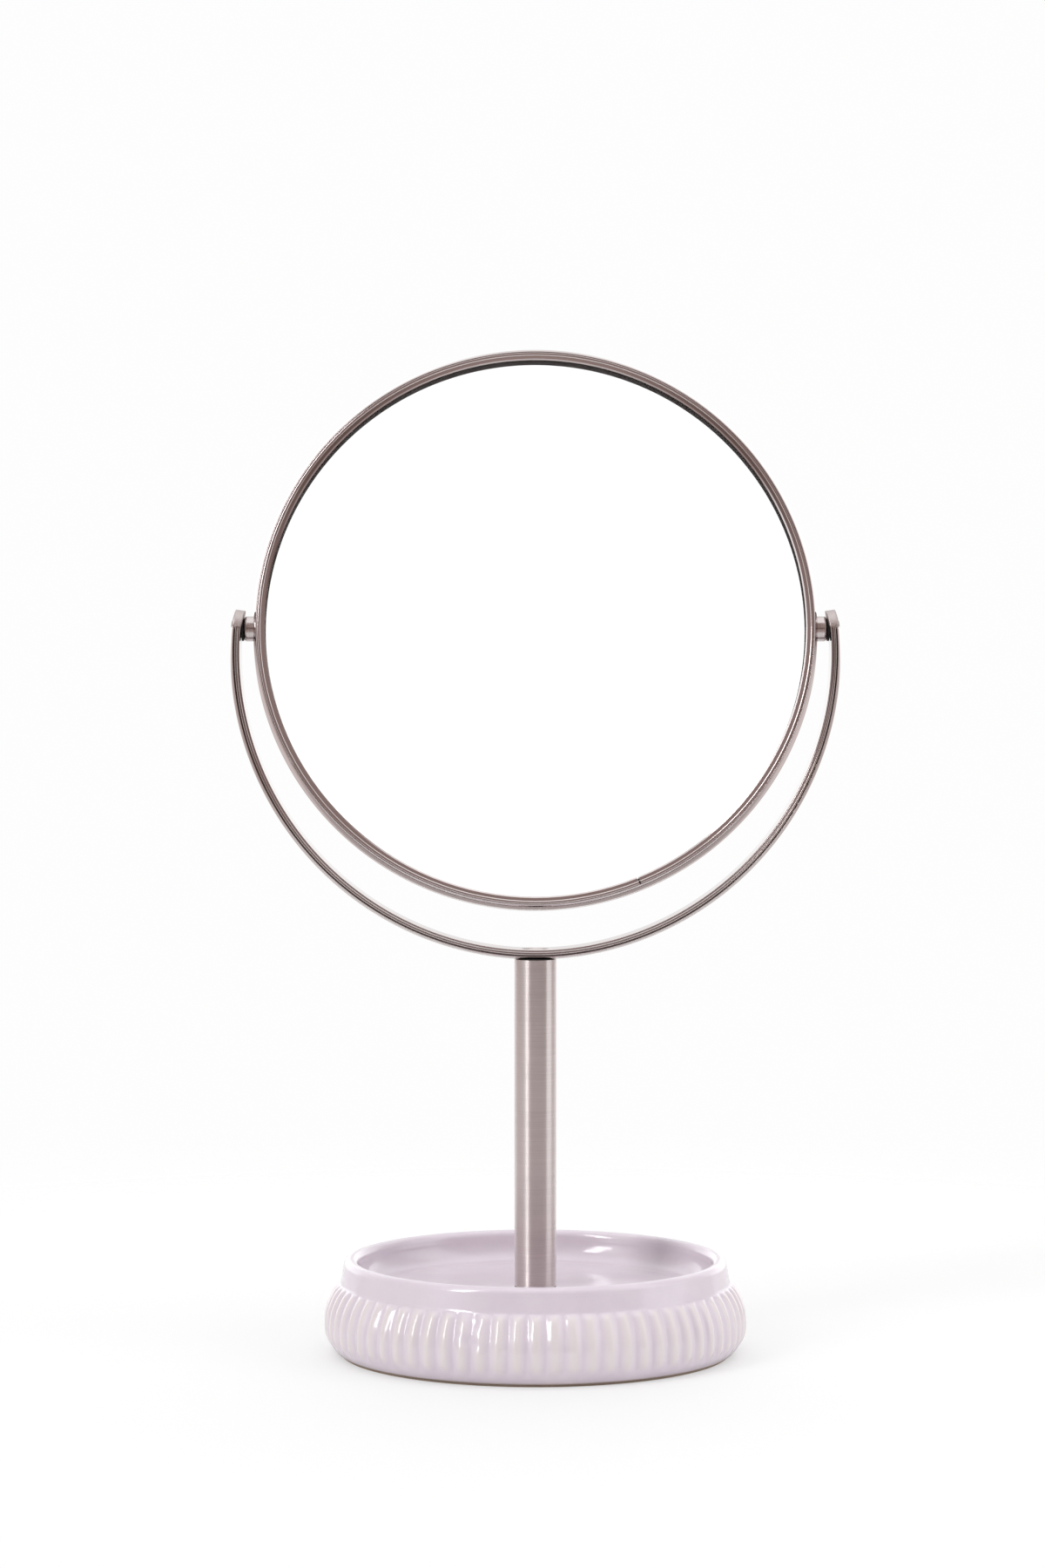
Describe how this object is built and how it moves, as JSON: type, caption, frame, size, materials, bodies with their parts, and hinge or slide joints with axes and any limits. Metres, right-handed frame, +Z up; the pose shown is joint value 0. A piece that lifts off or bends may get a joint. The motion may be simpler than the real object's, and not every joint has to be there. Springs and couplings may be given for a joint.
{
  "type": "pedestal vanity mirror",
  "caption": "Two-sided tilting vanity mirror in a steel hoop, held by a U-shaped yoke on a steel stem that stands in a ribbed ceramic tray base.",
  "frame": {"origin": "middle of the underside of the base pad, on the table", "axes": "+Z up along the stem, the mirror's plain side faces -Y, the tilt axis runs along X"},
  "size_m": [0.201, 0.14, 0.3319],
  "materials": {
    "lilac_glaze": "pale lilac satin gloss glaze, creamier on the rib crests",
    "tan_felt": "thin tan felt",
    "black_rubber": "matte black",
    "black_nylon": "matte black",
    "plain_steel": "plain turned steel",
    "brushed_stem": "brushed round the tube",
    "brushed_frame": "brushed along the strip",
    "mirror_glass": "silvered glass",
    "grey_foam": "soft closed-cell foam"
  },
  "bodies": {
    "stand": {"tray_base": "lilac_glaze", "base_pad": "tan_felt", "cushion_washer": "black_rubber", "base_washer": "plain_steel", "base_bolt": "plain_steel", "stem_seal": "black_rubber", "stem_foot_plug": "plain_steel", "stem_tube": "brushed_stem", "stem_top_plug": "plain_steel", "yoke_saddle": "black_rubber", "yoke": "brushed_frame", "yoke_screw": "plain_steel", "pivot_pin_left": "plain_steel", "pivot_pin_right": "plain_steel", "friction_washer_left": "black_nylon", "friction_washer_right": "black_nylon"},
    "mirror_head": {"hoop": "brushed_frame", "front_bezel": "brushed_frame", "rear_bezel": "brushed_frame", "front_mirror": "mirror_glass", "rear_mirror": "mirror_glass", "spacer_ring": "grey_foam", "pivot_bush_left": "brushed_frame", "pivot_bush_right": "brushed_frame", "pivot_nut_left": "plain_steel", "pivot_nut_right": "plain_steel"}
  },
  "joints": [
    {"name": "mirror_tilt", "type": "hinge", "parent": "stand", "child": "mirror_head", "pos_m": [0, 0, 0.2394], "axis": [1, 0, 0], "continuous": true}
  ]
}
